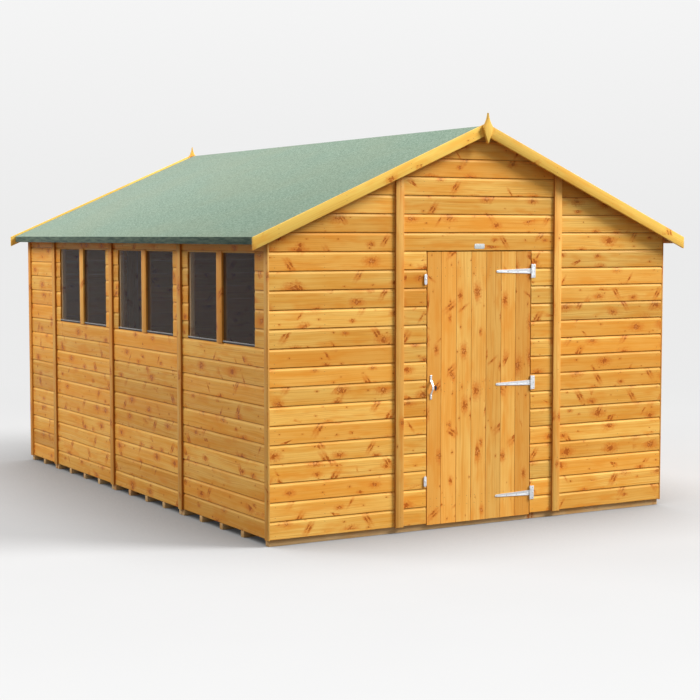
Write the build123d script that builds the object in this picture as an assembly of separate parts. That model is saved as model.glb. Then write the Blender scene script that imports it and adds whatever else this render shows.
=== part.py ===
"""Wooden garden shed with a gabled felt roof, one door and three double windows.

Millimetres. X runs along the front gable, Y from front to rear, Z up from the ground.
The origin is on the ground, in the middle of the plan.
"""
import os
from math import cos, radians, tan

from build123d import *

os.makedirs("parts", exist_ok=True)

# Side walls have three full panels and one narrow one, and reach past them at each corner
panel = 1195
last_panel = 597.5
front_lap = 70
rear_lap = 3.5
joint_gap = 1

# Overall plan, measured over the corner strips
length = front_lap + 3 * panel + last_panel + rear_lap
width = 2988
front = -length / 2

# Timber sections
clad_t = 12
frame_d = 28
frame_w = 44
strip_t = 14
strip_w = 58
corner_t = 12
corner_w = 48

# Cladding boards set the heights of the walls, door and windows
board_cover = 113
low_board = 107
clad_bottom = 41
sill_z = clad_bottom + low_board + 9 * board_cover
head_z = clad_bottom + low_board + 14 * board_cover
wall_top = clad_bottom + low_board + 15 * board_cover

# Wall planes
side_out = width / 2 - corner_t
side_in = side_out - clad_t
frame_in = side_in - frame_d
gable_in = clad_t + frame_d

# Panel joints: along the sides from the front face, and either side of a gable's middle
joints = [front_lap + panel, front_lap + 2 * panel, front_lap + 3 * panel]
gable_joint = 597.5

# Floor
bearer_h = 39
bearer_w = 40
bearer_end = side_out
deck_t = 12
deck_top = bearer_h + deck_t
floor_set_back = 18
bearer_pitch = panel / 4
pair_gap = 2

# Roof
pitch = 23.5
slope = tan(radians(pitch))
roof_board_t = 12
felt_t = 3
eaves_overhang = 83
eaves_out = width / 2 + eaves_overhang
roof_overhang = 48
board_rise = roof_board_t / cos(radians(pitch))
felt_rise = felt_t / cos(radians(pitch))
ridge_under = wall_top + slope * side_out
eaves_batten_t = 30
eaves_batten_h = 29
eaves_bottom = ridge_under - slope * eaves_out - eaves_batten_h
purlin_d = 28
purlin_w = 44
purlin_from_ridge = 120
purlin_lower = 760
truss_d = 70
truss_t = 28
collar_over_wall = 178

# Barge boards and finials
barge_t = 16
barge_w = 69
barge_past_felt = 37
barge_over_felt = 14
finial_t = 20
finial_half_w = 38
finial_above = 63
finial_point_h = 91
finial_body_h = 100
finial_hollow = 0.42
finial_hollow_h = 0.36

# Windows: two panes each, in every full side panel of the left wall
window_pier = 118.5
window_w = panel - 2 * window_pier
mullion_w = 76
mullion_proud = 6
pane_gap = 2
glass_t = 3
bead_gap = 8
bead_nose = 8
bead_fall = 1
bead_leg = 2

# Door
door_w = 785
door_gap = 5
door_bottom = 32
door_top = head_z - door_gap
door_t = clad_t
ledge_t = 28
ledge_w = 95
ledge_inset = 20
ledge_heights = [170, 885, 1600]
brace_w = 70
brace_foot_inset = 30
brace_head_inset = 60
opening_half = door_w / 2 + door_gap

# T hinges: a plate on the wall, a long strap on the door, and a pin through both
hinge_heights = [173, 886, 1600]
plate_h = 86
plate_w = 32
hinge_t = 3
plate_corner_r = 3
strap_l = 272
strap_root = 33
strap_tip = 15
screw_hole_r = 2.4
strap_first_hole = 26
strap_last_hole = 12
plate_hole_inset = 11
plate_hole_side = 9
knuckle_r = 5.5
pin_r = 2.5
pin_clear = 0.05
knuckle_gap = 1
strap_knuckle_h = 34
pin_head_h = 2
pin_head_r = 4
hinge_x = door_w / 2 + 3
hinge_y = front - 6

# Door handle, lock and turn buttons
handle_inset = 27.5
handle_x = -door_w / 2 + handle_inset
handle_z = 890
handle_l = 146
handle_w = 13
handle_t = 4
handle_reach = 28
handle_foot_l = 30
handle_bend_r = 9
handle_crown = 20
lock_w = 90
lock_h = 75
lock_t = 18
lock_z = 887
button_past_opening = 10.5
button_x = -opening_half - button_past_opening
button_heights = [307, 1557]
button_w = 20
button_h = 66
button_t = 4
button_post_r = 6
button_post_l = 4


def block(x0, x1, y0, y1, z0, z1):
    """Box between two corners, with y counted from the front face of the front gable."""
    size = (abs(x1 - x0), abs(y1 - y0), abs(z1 - z0))
    centre = ((x0 + x1) / 2, front + (y0 + y1) / 2, (z0 + z1) / 2)
    return Pos(*centre) * Box(*size)


def across(points, y0, y1):
    """Outline in X and Z, drawn out from y0 to y1 along the shed."""
    face = Plane.XZ * Polygon(*points, align=None)
    return Pos(0, front + y0, 0) * extrude(face, y1 - y0, dir=(0, 1, 0))


def under(x):
    """Height of the underside of the roof boards."""
    return ridge_under - slope * abs(x)


def save(name, *solids):
    """Write one node."""
    shape = Compound(children=list(solids)) if len(solids) > 1 else solids[0]
    export_step(shape, f"parts/{name}.step")


# Floor: bearers across the shed, doubled where two floor panels meet
bearer_rows = []
row_far = length - floor_set_back - bearer_w
for i in range(15):
    centre = joints[0] + (i - 4) * bearer_pitch
    if i == 0:
        bearer_rows.append(floor_set_back)
    elif i == 14:
        bearer_rows.append(row_far)
    elif i in (4, 8, 12):
        bearer_rows.append(centre - pair_gap / 2 - bearer_w)
        bearer_rows.append(centre + pair_gap / 2)
    else:
        bearer_rows.append(centre - bearer_w / 2)
save(
    "floor_bearers",
    *[block(-bearer_end, bearer_end, y, y + bearer_w, 0, bearer_h) for y in bearer_rows],
)
save(
    "floor_deck",
    block(-side_in, side_in, floor_set_back, length - floor_set_back, bearer_h, deck_top),
)


# Gable cladding: three panels, the middle one cut for the door in front
def gable_side(sign, y0):
    """Outer gable panel, from the panel joint to the corner strip."""
    inner = sign * (gable_joint + joint_gap / 2)
    outer = sign * side_out
    points = [(inner, clad_bottom), (outer, clad_bottom), (outer, under(outer)), (inner, under(inner))]
    return across(points, y0, y0 + clad_t)


def gable_middle(z0, y0):
    """Middle gable panel from z0 up to the ridge."""
    edge = gable_joint - joint_gap / 2
    points = [(-edge, z0), (edge, z0), (edge, under(edge)), (0, ridge_under), (-edge, under(edge))]
    return across(points, y0, y0 + clad_t)


inner_edge = gable_joint - joint_gap / 2
save("front_wall_left", gable_side(-1, 0))
save("front_wall_right", gable_side(1, 0))
save("front_wall_over_door", gable_middle(head_z, 0))
save("front_wall_beside_latch", block(-inner_edge, -opening_half, 0, clad_t, clad_bottom, head_z))
save("front_wall_beside_hinges", block(opening_half, inner_edge, 0, clad_t, clad_bottom, head_z))
rear_face = length - clad_t
save("rear_wall", gable_side(-1, rear_face), gable_middle(clad_bottom, rear_face), gable_side(1, rear_face))

# Side wall cladding in four panels, the left one cut for the windows
edges = [clad_t, *joints, length - clad_t]
spans = []
for i in range(4):
    near = edges[i] + (joint_gap / 2 if i > 0 else 0)
    far = edges[i + 1] - (joint_gap / 2 if i < 3 else 0)
    spans.append((near, far))
windows = []
for i in range(3):
    centre = joints[i] - panel / 2
    windows.append((centre - window_w / 2, centre + window_w / 2))
lower, piers, heads = [], [], []
for (near, far), (left, right) in zip(spans, windows):
    lower.append(block(-side_out, -side_in, near, far, clad_bottom, sill_z))
    piers.append(block(-side_out, -side_in, near, left, sill_z, head_z))
    piers.append(block(-side_out, -side_in, right, far, sill_z, head_z))
    heads.append(block(-side_out, -side_in, near, far, head_z, wall_top))
save("left_wall_below_windows", *lower)
save("left_wall_beside_windows", *piers)
save("left_wall_over_windows", *heads)
save("left_wall_plain_panel", block(-side_out, -side_in, *spans[3], clad_bottom, wall_top))
save("right_wall", *[block(side_in, side_out, near, far, clad_bottom, wall_top) for near, far in spans])

# Framing inside the side walls
side_edges = [gable_in, *joints, length - gable_in]
rail_top = wall_top
rail_low = deck_top + frame_w
studs, low_rails, top_rails, sill_rails = [], [], [], []
for sign in (-1, 1):
    x0, x1 = sign * frame_in, sign * side_in
    for i in range(4):
        near = side_edges[i] + (joint_gap / 2 if i > 0 else 0)
        far = side_edges[i + 1] - (joint_gap / 2 if i < 3 else 0)
        low_rails.append(block(x0, x1, near, far, deck_top, rail_low))
        top_rails.append(block(x0, x1, near, far, head_z, head_z + frame_w))
        if sign < 0 and i < 3:
            left, right = windows[i]
            middle = (left + right) / 2
            stud_edges = [(y - frame_w / 2, y + frame_w / 2) for y in (left, middle, right)]
            short = []
            for a, b in ((stud_edges[0][1], stud_edges[1][0]), (stud_edges[1][1], stud_edges[2][0])):
                sill_rails.append(block(x0, x1, a, b, sill_z - frame_w, sill_z))
        else:
            stud_edges = [(near, near + frame_w), (far - frame_w, far)]
            middle = (near + far) / 2
            short = [(middle - frame_w / 2, middle + frame_w / 2)] if i < 3 else []
            sill_rails.append(block(x0, x1, near + frame_w, far - frame_w, sill_z - frame_w, sill_z))
        for y0, y1 in stud_edges:
            studs.append(block(x0, x1, y0, y1, rail_low, head_z))
        for y0, y1 in short:
            studs.append(block(x0, x1, y0, y1, rail_low, sill_z - frame_w))
save("side_wall_studs", *studs)
save("side_wall_rails", *low_rails, *sill_rails, *top_rails)

# Framing inside the gables
gable_studs, gable_rails, rafters = [], [], []
rafter_rise = frame_w / cos(radians(pitch))
for y0 in (clad_t, length - gable_in):
    y1 = y0 + frame_d
    door_side = y0 == clad_t
    for sign in (-1, 1):
        rail_start = opening_half if door_side else 0.5
        gable_rails.append(block(sign * rail_start, sign * side_in, y0, y1, deck_top, rail_low))
        inner = opening_half if door_side else gable_joint - frame_w
        for a in (inner, gable_joint + joint_gap, side_in - frame_w):
            b = a + frame_w
            points = [
                (sign * a, rail_low),
                (sign * b, rail_low),
                (sign * b, under(b) - rafter_rise),
                (sign * a, under(a) - rafter_rise),
            ]
            gable_studs.append(across(points, y0, y1))
        far = side_in
        points = [
            (0, ridge_under),
            (sign * far, under(far)),
            (sign * far, under(far) - rafter_rise),
            (0, ridge_under - rafter_rise),
        ]
        rafters.append((sign, across(points, y0, y1)))
lintel = block(-opening_half, opening_half, clad_t, gable_in, head_z, head_z + frame_w)
save("gable_studs", *gable_studs)
save("gable_rails", *gable_rails, lintel)
save("gable_rafters_left", *[r for sign, r in rafters if sign < 0])
save("gable_rafters_right", *[r for sign, r in rafters if sign > 0])

# Windows: panes rest on the outer faces of the studs and meet behind the mullion
glass, mullions, beads = [], [], []
glass_x = -side_in - glass_t
bead_top = sill_z + bead_gap + bead_nose
for left, right in windows:
    middle = (left + right) / 2
    m0, m1 = middle - mullion_w / 2, middle + mullion_w / 2
    mullions.append(block(-side_out - mullion_proud, glass_x, m0, m1, sill_z, head_z))
    glass.append(block(glass_x, -side_in, left, middle - pane_gap / 2, sill_z, head_z))
    glass.append(block(glass_x, -side_in, middle + pane_gap / 2, right, sill_z, head_z))
    for a, b in ((left, m0), (m1, right)):
        points = [
            (glass_x, sill_z),
            (glass_x, bead_top),
            (-side_out, bead_top - bead_fall),
            (-side_out, sill_z + bead_gap),
            (glass_x - bead_leg, sill_z + bead_gap),
            (glass_x - bead_leg, sill_z),
        ]
        beads.append(across(points, a, b))
save("window_glass", *glass)
save("window_mullions", *mullions)
save("window_sill_beads", *beads)

# Cover strips over the panel joints, and strips at the four corners
strips = []
strip_bottom = clad_bottom - 4
for y in joints:
    for sign in (-1, 1):
        x0, x1 = sign * side_out, sign * (side_out + strip_t)
        strips.append(block(x0, x1, y - strip_w / 2, y + strip_w / 2, strip_bottom, under(x1)))
save("side_cover_strips", *strips)
strips = []
for y0, y1 in ((-strip_t, 0), (length, length + strip_t)):
    for sign in (-1, 1):
        a = sign * gable_joint - strip_w / 2
        b = sign * gable_joint + strip_w / 2
        points = [(a, strip_bottom), (b, strip_bottom), (b, under(b)), (a, under(a))]
        strips.append(across(points, y0, y1))
save("gable_cover_strips", *strips)
strips = []
for y0, y1 in ((0, corner_w), (length - corner_w, length)):
    for sign in (-1, 1):
        x0, x1 = sign * side_out, sign * (side_out + corner_t)
        strips.append(block(x0, x1, y0, y1, strip_bottom, under(x1)))
save("corner_strips", *strips)

# Roof boards, eaves battens and felt
roof_near = -roof_overhang
roof_far = length + roof_overhang
for sign, name in ((-1, "left"), (1, "right")):
    points = [
        (0, ridge_under),
        (sign * eaves_out, under(eaves_out)),
        (sign * eaves_out, under(eaves_out) + board_rise),
        (0, ridge_under + board_rise),
    ]
    save(f"roof_boards_{name}", across(points, roof_near, roof_far))
battens = []
for sign in (-1, 1):
    inner = eaves_out - eaves_batten_t
    points = [
        (sign * inner, eaves_bottom),
        (sign * eaves_out, eaves_bottom),
        (sign * eaves_out, under(eaves_out)),
        (sign * inner, under(inner)),
    ]
    battens.append(across(points, roof_near, roof_far))
save("eaves_battens", *battens)
felt_out = eaves_out + felt_t
felt_top = ridge_under + board_rise + felt_rise
points = [
    (0, ridge_under + board_rise),
    (eaves_out, under(eaves_out) + board_rise),
    (eaves_out, eaves_bottom),
    (felt_out, eaves_bottom),
    (felt_out, felt_top - slope * felt_out),
    (0, felt_top),
    (-felt_out, felt_top - slope * felt_out),
    (-felt_out, eaves_bottom),
    (-eaves_out, eaves_bottom),
    (-eaves_out, under(eaves_out) + board_rise),
]
save("roof_felt", across(points, roof_near, roof_far))

# Roof frames: purlins along the roof, carried by three trusses between the side walls
purlin_drop = purlin_d / cos(radians(pitch))
purlins = []
for sign in (-1, 1):
    for at in (purlin_from_ridge, purlin_lower):
        a, b = at, at + purlin_w * cos(radians(pitch))
        points = [
            (sign * a, under(a)),
            (sign * b, under(b)),
            (sign * b, under(b) - purlin_drop),
            (sign * a, under(a) - purlin_drop),
        ]
        purlins.append(across(points, gable_in, length - gable_in))
save("roof_purlins", *purlins)
truss_drop = truss_d / cos(radians(pitch))
collar_z = wall_top + collar_over_wall
left_rafters, right_rafters, collars = [], [], []
for y in joints:
    for sign, store in ((-1, left_rafters), (1, right_rafters)):
        points = [
            (0, ridge_under - purlin_drop),
            (sign * frame_in, under(frame_in) - purlin_drop),
            (sign * frame_in, under(frame_in) - purlin_drop - truss_drop),
            (0, ridge_under - purlin_drop - truss_drop),
        ]
        store.append(across(points, y - truss_t / 2, y + truss_t / 2))
    reach = (ridge_under - purlin_drop - collar_z - truss_d) / slope
    collars.append(
        block(-reach, reach, y + truss_t / 2, y + truss_t * 1.5, collar_z, collar_z + truss_d)
    )
save("truss_rafters_left", *left_rafters)
save("truss_rafters_right", *right_rafters)
save("truss_collars", *collars)

# Barge boards cover the roof's ends, and a spear finial covers each joint at the ridge
barge_top = felt_top + barge_over_felt
barge_drop = barge_w / cos(radians(pitch))
barge_end = felt_out + barge_past_felt
for sign, name in ((-1, "left"), (1, "right")):
    low = barge_top - slope * barge_end
    points = [
        (0, barge_top),
        (sign * barge_end, low),
        (sign * barge_end, low - barge_drop),
        (0, barge_top - barge_drop),
    ]
    front_board = across(points, roof_near - barge_t, roof_near)
    rear_board = across(points, roof_far, roof_far + barge_t)
    save(f"barge_boards_{name}", front_board, rear_board)


def finial(y0, y1):
    """Spear: a point with hollow shoulders above, and straight sides down to a tip."""
    top = barge_top + finial_above
    shoulder_z = top - finial_point_h
    shoulder = (finial_half_w, shoulder_z)
    other = (-finial_half_w, shoulder_z)
    foot = (0, shoulder_z - finial_body_h)
    hollow_x = finial_half_w * finial_hollow
    hollow_z = shoulder_z + finial_point_h * finial_hollow_h
    outline = Line(foot, shoulder)
    outline += ThreePointArc(shoulder, (hollow_x, hollow_z), (0, top))
    outline += ThreePointArc((0, top), (-hollow_x, hollow_z), other)
    outline += Line(other, foot)
    face = Plane.XZ * make_face(outline)
    return Pos(0, front + y0, 0) * extrude(face, y1 - y0, dir=(0, 1, 0))


finial_near = roof_near - barge_t
finial_far = roof_far + barge_t
save("finials", finial(finial_near - finial_t, finial_near), finial(finial_far, finial_far + finial_t))

# Door leaf: boards on three ledges with two braces
half = door_w / 2
save("door_boards", block(-half, half, 0, door_t, door_bottom, door_top))
ledge_half = half - ledge_inset
ledge_near, ledge_far = door_t, door_t + ledge_t
ledges = []
for z in ledge_heights:
    ledges.append(block(-ledge_half, ledge_half, ledge_near, ledge_far, z - ledge_w / 2, z + ledge_w / 2))
save("door_ledges", *ledges)
braces = []
for low, high in zip(ledge_heights, ledge_heights[1:]):
    z0 = low + ledge_w / 2
    z1 = high - ledge_w / 2
    foot = ledge_half - brace_foot_inset
    head = -ledge_half + brace_head_inset
    points = [(foot, z0), (foot - brace_w, z0), (head, z1), (head + brace_w, z1)]
    braces.append(across(points, ledge_near, ledge_far))
save("door_braces", *braces)


# Hinges
def through_hole(x, z):
    """Screw hole through a hinge leaf, square to the door."""
    return Pos(x, front - hinge_t / 2, z) * Rot(90, 0, 0) * Cylinder(screw_hole_r, hinge_t * 2)


straps, plates, pins = [], [], []
round_x = hinge_x - strap_l + strap_tip / 2
first_hole_x = hinge_x - strap_first_hole
last_hole_x = hinge_x - strap_l + strap_last_hole
for z in hinge_heights:
    inner_half = strap_knuckle_h / 2
    flat = [
        (hinge_x, z - strap_root / 2),
        (hinge_x, z + strap_root / 2),
        (round_x, z + strap_tip / 2),
        (round_x, z - strap_tip / 2),
    ]
    flat = across(flat, -hinge_t, 0)
    flat += Pos(round_x, front - hinge_t / 2, z) * Rot(90, 0, 0) * Cylinder(strap_tip / 2, hinge_t)
    for i in range(4):
        flat -= through_hole(first_hole_x + (last_hole_x - first_hole_x) * i / 3, z)
    barrel = Pos(hinge_x, hinge_y, z) * Cylinder(knuckle_r, strap_knuckle_h)
    bore = Pos(hinge_x, hinge_y, z) * Cylinder(pin_r + pin_clear, plate_h * 2)
    straps.append(flat + barrel - bore)
    leaf = block(hinge_x, hinge_x + plate_w, -hinge_t, 0, z - plate_h / 2, z + plate_h / 2)
    outer_corners = leaf.edges().filter_by(Axis.Y).sort_by(Axis.X)[-2:]
    leaf = fillet(outer_corners, plate_corner_r)
    for side in (-1, 1):
        hole_z = z + side * (plate_h / 2 - plate_hole_inset)
        leaf -= through_hole(hinge_x + plate_w - plate_hole_side, hole_z)
    leaf -= through_hole(hinge_x + plate_w - plate_hole_side, z)
    ring = Pos(hinge_x, hinge_y, z) * Cylinder(knuckle_r, plate_h)
    room = block(
        hinge_x - knuckle_r * 2,
        hinge_x + knuckle_r + knuckle_gap,
        -knuckle_r * 4,
        knuckle_r,
        z - inner_half - knuckle_gap,
        z + inner_half + knuckle_gap,
    )
    plates.append(leaf + ring - room - bore)
    pin = Pos(hinge_x, hinge_y, z) * Cylinder(pin_r, plate_h)
    top = Pos(hinge_x, hinge_y, z + plate_h / 2 + pin_head_h / 2) * Cylinder(pin_head_r, pin_head_h)
    low = Pos(hinge_x, hinge_y, z - plate_h / 2 - pin_head_h / 2) * Cylinder(pin_head_r, pin_head_h)
    pins.append(pin + top + low)
save("hinge_straps", *straps)
save("hinge_plates", *plates)
save("hinge_pins", *pins)

# Pull handle: one flat bar bent into two feet and a bowed grip
foot_in = handle_l / 2 - handle_foot_l
reach = handle_reach - handle_t
path = [
    (0, -handle_l / 2),
    (0, -foot_in),
    (-reach, -handle_crown / 2),
    (-reach, handle_crown / 2),
    (0, foot_in),
    (0, handle_l / 2),
]
route = FilletPolyline(*path, radius=handle_bend_r)
bar = Plane.YZ * make_face(offset(route, handle_t / 2, side=Side.BOTH))
bar = extrude(bar, handle_w, dir=(1, 0, 0))
save("door_handle", Pos(handle_x - handle_w / 2, front - handle_t / 2, handle_z) * bar)
save(
    "door_lock",
    block(
        -ledge_half,
        -ledge_half + lock_w,
        ledge_far,
        ledge_far + lock_t,
        lock_z - lock_h / 2,
        lock_z + lock_h / 2,
    ),
)

# Turn buttons on the wall beside the door's latch edge
buttons = []
for z in button_heights:
    post = Pos(button_x, front - button_post_l / 2, z) * Rot(90, 0, 0) * Cylinder(button_post_r, button_post_l)
    near = -button_post_l - button_t
    far = -button_post_l
    bar = block(button_x - button_w / 2, button_x + button_w / 2, near, far, z - button_h / 2, z + button_h / 2)
    edges_to_round = bar.edges().filter_by(Axis.Y)
    buttons.append(fillet(edges_to_round, button_w / 2 - 0.5) + post)
save("turn_buttons", *buttons)
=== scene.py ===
"""Looks of the wooden garden shed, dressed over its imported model. Metres, in the model's frame."""
import math
import random
from collections import namedtuple

import bmesh
import bpy
from mathutils import Matrix, Vector


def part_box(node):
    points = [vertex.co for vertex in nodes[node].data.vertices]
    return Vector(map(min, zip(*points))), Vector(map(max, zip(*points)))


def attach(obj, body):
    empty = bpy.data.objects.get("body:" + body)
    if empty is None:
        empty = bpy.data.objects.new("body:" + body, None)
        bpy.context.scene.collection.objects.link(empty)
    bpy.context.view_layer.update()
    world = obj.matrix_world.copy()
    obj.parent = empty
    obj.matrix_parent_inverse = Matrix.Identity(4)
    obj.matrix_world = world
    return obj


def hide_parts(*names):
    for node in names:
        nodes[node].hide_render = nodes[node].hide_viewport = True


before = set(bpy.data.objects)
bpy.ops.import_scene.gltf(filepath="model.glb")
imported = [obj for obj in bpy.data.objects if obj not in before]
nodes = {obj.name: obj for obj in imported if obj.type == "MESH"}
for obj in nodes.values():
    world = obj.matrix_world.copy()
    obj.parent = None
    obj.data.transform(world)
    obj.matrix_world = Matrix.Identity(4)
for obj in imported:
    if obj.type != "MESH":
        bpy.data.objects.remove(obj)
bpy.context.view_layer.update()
rng = random.Random(4256)

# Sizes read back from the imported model, so that every piece lands where its solid is
WALL_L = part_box("front_wall_left")
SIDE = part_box("left_wall_plain_panel")
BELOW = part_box("left_wall_below_windows")
FRONT_Y = WALL_L[0].y
REAR_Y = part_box("rear_wall")[1].y
OUT_X = -BELOW[0].x
CLAD_T = BELOW[1].x - BELOW[0].x
BASE_Z = BELOW[0].z
SILL_Z = BELOW[1].z
HEAD_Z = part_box("left_wall_over_windows")[0].z
WALL_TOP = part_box("left_wall_over_windows")[1].z
COVER = (HEAD_Z - SILL_Z) / 5
LOW_BOARD = SILL_Z - BASE_Z - 9 * COVER
RIDGE_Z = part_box("rear_wall")[1].z
PITCH = math.atan2(RIDGE_Z - WALL_TOP, OUT_X)
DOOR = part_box("door_boards")
JOINT_GAP = 0.001


def under(x):
    """Height of the underside of the roof boards."""
    return RIDGE_Z - math.tan(PITCH) * abs(x)


class Graph:
    """Node tree of a new material or of a world, with short calls for the nodes used here."""

    def __init__(self, name, world=None):
        self.mat = None if world else bpy.data.materials.new(name)
        holder = world or self.mat
        holder.use_nodes = True
        self.tree = holder.node_tree
        self.tree.nodes.clear()
        self.out = self.node("ShaderNodeOutputWorld" if world else "ShaderNodeOutputMaterial")

    def node(self, kind, **props):
        n = self.tree.nodes.new(kind)
        for k, v in props.items():
            setattr(n, k, v)
        return n

    def put(self, socket, value):
        if isinstance(value, bpy.types.NodeSocket):
            self.tree.links.new(value, socket)
        elif isinstance(value, (tuple, list)) and len(value) == 3 and socket.type == "RGBA":
            socket.default_value = (*value, 1)
        else:
            socket.default_value = value

    def math(self, op, a, b=0.0):
        n = self.node("ShaderNodeMath", operation=op)
        for socket, value in zip(n.inputs, (a, b)):
            self.put(socket, value)
        return n.outputs[0]

    def add(self, a, b):
        return self.math("ADD", a, b)

    def mul(self, a, b):
        return self.math("MULTIPLY", a, b)

    def sub(self, a, b):
        return self.math("SUBTRACT", a, b)

    def div(self, a, b):
        return self.math("DIVIDE", a, b)

    def most(self, a, b):
        return self.math("MAXIMUM", a, b)

    def vec(self, op, a, b=(0, 0, 0), scale=None):
        n = self.node("ShaderNodeVectorMath", operation=op)
        self.put(n.inputs[0], a)
        if op == "SCALE":
            self.put(n.inputs["Scale"], scale)
        else:
            self.put(n.inputs[1], b)
        return n.outputs["Value"] if op in ("LENGTH", "DOT_PRODUCT") else n.outputs[0]

    def split(self, v):
        n = self.node("ShaderNodeSeparateXYZ")
        self.put(n.inputs[0], v)
        return n.outputs[0], n.outputs[1], n.outputs[2]

    def join(self, x, y, z):
        n = self.node("ShaderNodeCombineXYZ")
        for socket, value in zip(n.inputs, (x, y, z)):
            self.put(socket, value)
        return n.outputs[0]

    def attr(self, name, kind="Vector"):
        return self.node("ShaderNodeAttribute", attribute_name=name).outputs[kind]

    def noise(self, v, scale, detail=2.0, rough=0.5, out=0):
        n = self.node("ShaderNodeTexNoise")
        for key, value in (("Vector", v), ("Scale", scale), ("Detail", detail), ("Roughness", rough)):
            self.put(n.inputs[key], value)
        return n.outputs[out]

    def cells(self, v, randomness):
        n = self.node("ShaderNodeTexVoronoi")
        self.put(n.inputs["Vector"], v)
        self.put(n.inputs["Scale"], 1.0)
        self.put(n.inputs["Randomness"], randomness)
        return n.outputs["Color"], n.outputs["Position"]

    def span(self, x, low, high, a=0.0, b=1.0, smooth=True):
        n = self.node("ShaderNodeMapRange", interpolation_type="SMOOTHSTEP" if smooth else "LINEAR")
        for key, value in (("Value", x), ("From Min", low), ("From Max", high), ("To Min", a), ("To Max", b)):
            self.put(n.inputs[key], value)
        return n.outputs[0]

    def mix(self, fac, a, b):
        n = self.node("ShaderNodeMix", data_type="RGBA")
        self.put(n.inputs[0], fac)
        self.put(n.inputs[6], a)
        self.put(n.inputs[7], b)
        return n.outputs[2]

    def bump(self, height, distance, strength=1.0):
        n = self.node("ShaderNodeBump")
        self.put(n.inputs["Height"], height)
        self.put(n.inputs["Distance"], distance)
        self.put(n.inputs["Strength"], strength)
        return n.outputs[0]

    def shader(self, color, roughness, normal=None, **sockets):
        n = self.node("ShaderNodeBsdfPrincipled")
        self.put(n.inputs["Base Color"], color)
        self.put(n.inputs["Roughness"], roughness)
        if normal is not None:
            self.put(n.inputs["Normal"], normal)
        for key, value in sockets.items():
            self.put(n.inputs[key.replace("_", " ")], value)
        self.feed(n)

    def feed(self, n):
        """Leads a node to the tree's output."""
        self.tree.links.new(n.outputs[0], self.out.inputs[0])

    def seen(self):
        """One for rays that show a thing to the camera, straight or by gloss or glass; else zero."""
        rays = self.node("ShaderNodeLightPath").outputs
        return self.most(rays["Is Camera Ray"], self.most(rays["Is Glossy Ray"], rays["Is Transmission Ray"]))


def srgb(r, g, b):
    """Linear colour of an 8-bit one."""
    return tuple((c / 255 / 12.92) if c <= 10 else ((c / 255 + 0.055) / 1.055) ** 2.4 for c in (r, g, b))


Knots = namedtuple("Knots", "mask rim halo push ratio luck")


def knots(g, u, v, w, seed, grid, sizes, stretch, turn, chance, ragged, pair=0.0):
    """Knots in one board, u along it and v across it in metres; push is what they do to the grain."""
    along, across = grid
    colour, at = g.cells(g.join(g.add(g.mul(u, along), seed), g.mul(v, across), g.mul(w, 2.0)), 0.9)
    px, py, _pz = g.split(at)
    cr, cg, cb = g.split(colour)
    du = g.sub(u, g.div(g.sub(px, seed), along))
    dv = g.sub(v, g.div(py, across))
    lean = g.mul(g.math("SIGN", g.sub(cb, 0.5)), math.sin(turn))
    here = g.math("GREATER_THAN", cr, 1 - chance)
    radius = g.add(g.mul(g.span(cg, 0.0, 1.0, *sizes, smooth=False), here), 1e-5)
    rx, ry, _rz = ragged
    a = g.add(g.add(g.mul(du, math.cos(turn)), g.mul(dv, lean)), g.mul(rx, radius))
    b = g.add(g.sub(g.mul(dv, math.cos(turn)), g.mul(du, lean)), g.mul(ry, radius))
    if pair:
        twin = g.mul(g.mul(radius, pair), g.math("GREATER_THAN", cg, 0.35))
        b = g.sub(g.math("ABSOLUTE", b), twin)
    ratio = g.div(g.vec("LENGTH", g.join(g.div(a, stretch), b, 0.0)), radius)
    mask = g.span(ratio, 1.25, 0.6)
    rim = g.mul(g.span(ratio, 1.45, 1.0), g.span(ratio, 0.45, 0.95))
    far = g.vec("LENGTH", g.join(g.div(a, 1.9 * stretch), g.mul(b, 0.8), 0.0))
    halo = g.span(g.div(far, radius), 2.9, 0.4)
    push = g.div(dv, g.add(g.mul(ratio, ratio), 0.55))
    return Knots(mask, rim, halo, g.mul(push, here), ratio, cb)


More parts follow.
